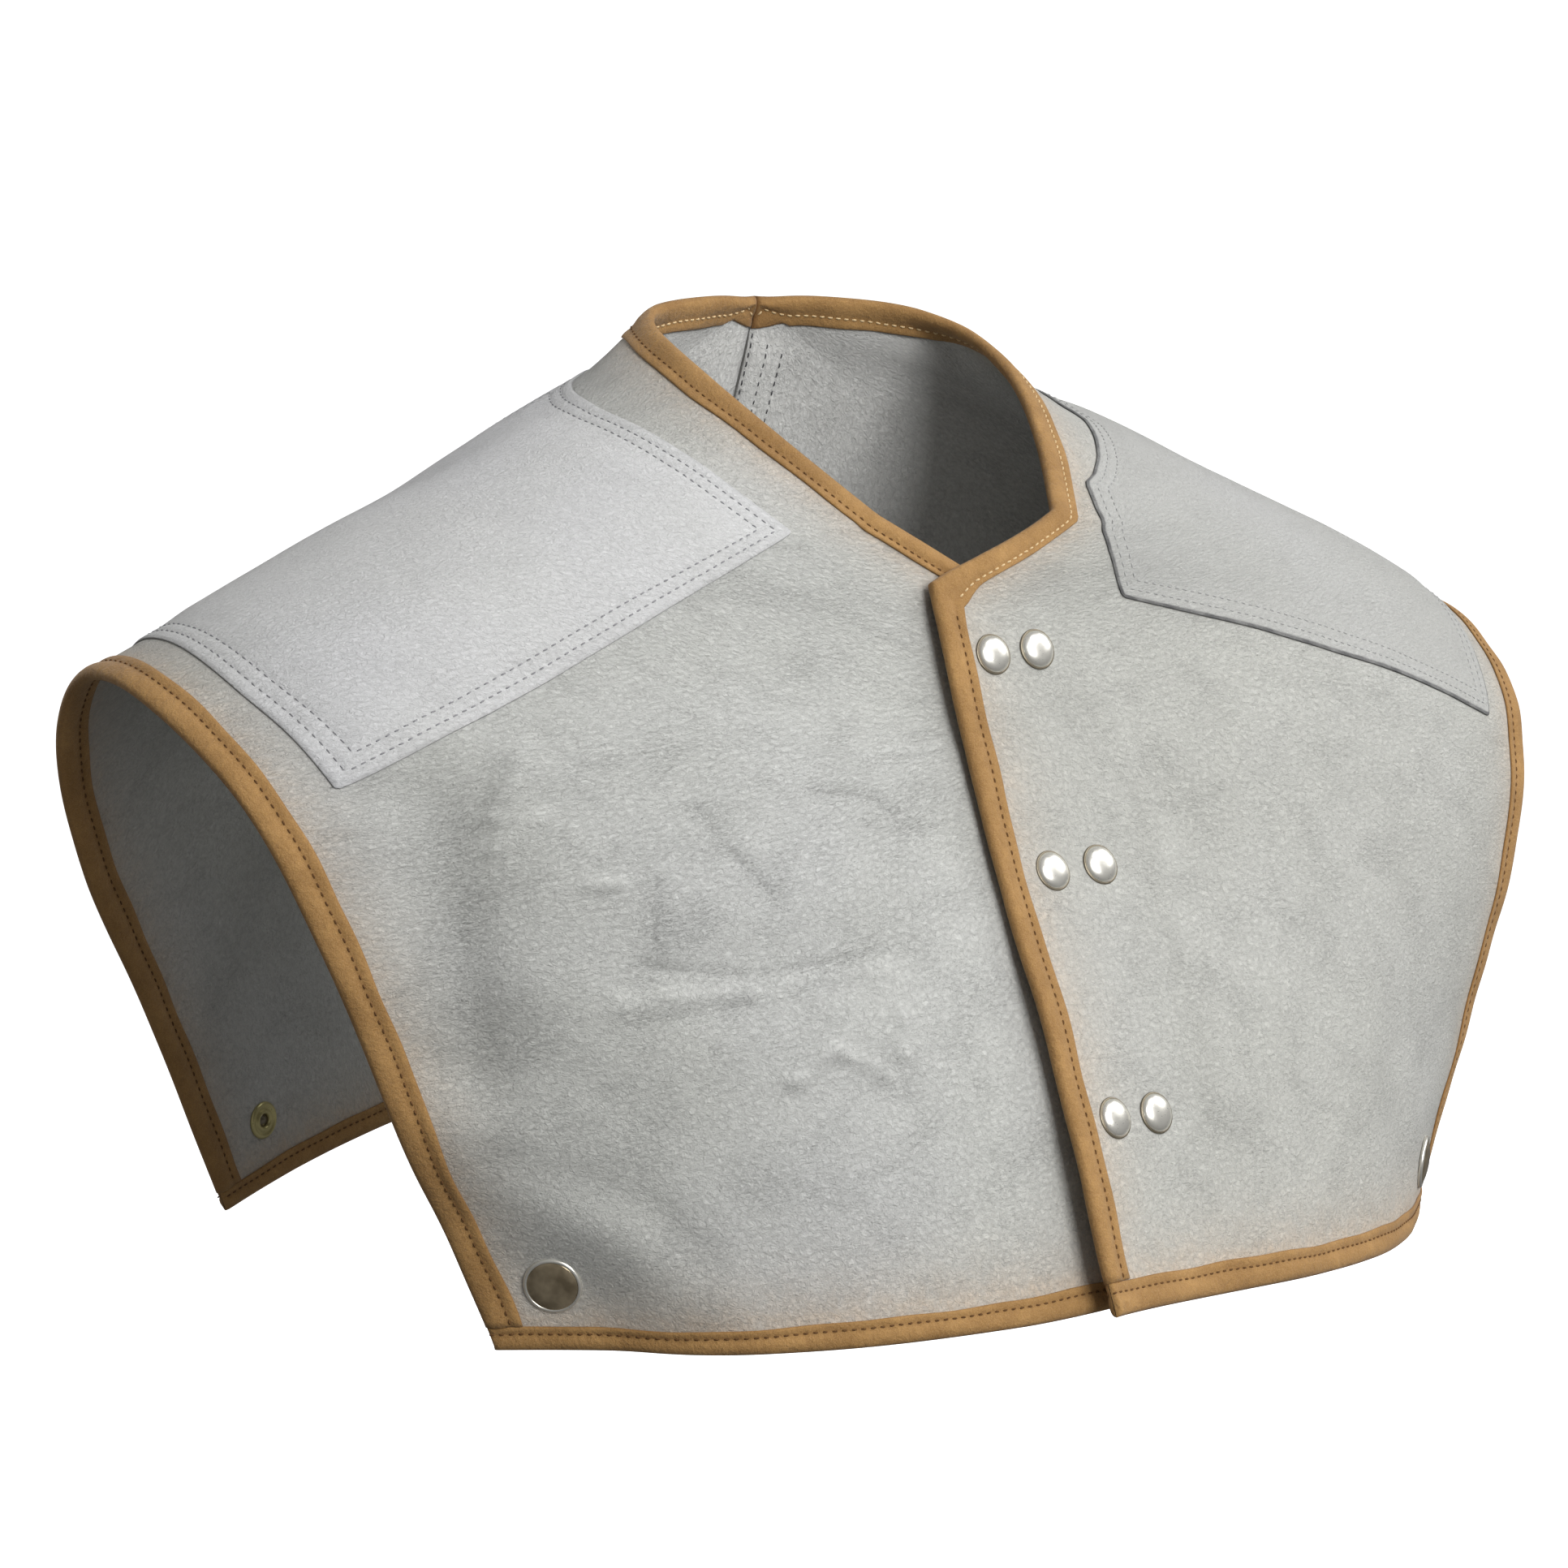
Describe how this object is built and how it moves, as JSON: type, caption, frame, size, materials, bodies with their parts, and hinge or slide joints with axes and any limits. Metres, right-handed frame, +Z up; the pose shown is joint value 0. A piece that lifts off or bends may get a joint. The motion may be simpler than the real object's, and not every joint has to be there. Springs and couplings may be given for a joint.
{
  "type": "leather shoulder pad vest",
  "caption": "Short open-sided work vest of grey suede with doubled shoulder pads, tan leather edge binding, snap front and side snaps, in its worn form.",
  "frame": {"origin": "middle of the neck opening at shoulder height, where the wearer's shoulders hold the vest up", "axes": "+X towards the wearer's left, +Y towards the wearer's back, +Z up"},
  "size_m": [0.6106, 0.3194, 0.3535],
  "materials": {
    "suede": "grey split suede with a soft nap",
    "tan_leather": "tan leather with a dull smooth grain",
    "nickel": "polished nickel plate",
    "brass": "dulled brass"
  },
  "bodies": {
    "root": {"body_right": "suede", "body_left": "suede", "shoulder_pad_right": "suede", "shoulder_pad_left": "suede", "neck_binding_right": "tan_leather", "neck_binding_left": "tan_leather", "front_binding_right": "tan_leather", "front_binding_left": "tan_leather", "side_binding_right": "tan_leather", "side_binding_left": "tan_leather", "front_hem_binding_right": "tan_leather", "front_hem_binding_left": "tan_leather", "back_hem_binding_right": "tan_leather", "back_hem_binding_left": "tan_leather", "front_snap_cap_1": "nickel", "front_snap_cap_2": "nickel", "front_snap_cap_3": "nickel", "front_snap_cap_4": "nickel", "front_snap_cap_5": "nickel", "front_snap_cap_6": "nickel", "front_snap_stud_1": "nickel", "front_snap_stud_2": "nickel", "front_snap_stud_3": "nickel", "front_snap_stud_4": "nickel", "front_snap_stud_5": "nickel", "front_snap_stud_6": "nickel", "side_snap_cap_right": "nickel", "side_snap_cap_left": "nickel", "back_stud_right": "nickel", "back_stud_left": "nickel", "back_eyelet_right": "brass", "back_eyelet_left": "brass"}
  },
  "joints": []
}
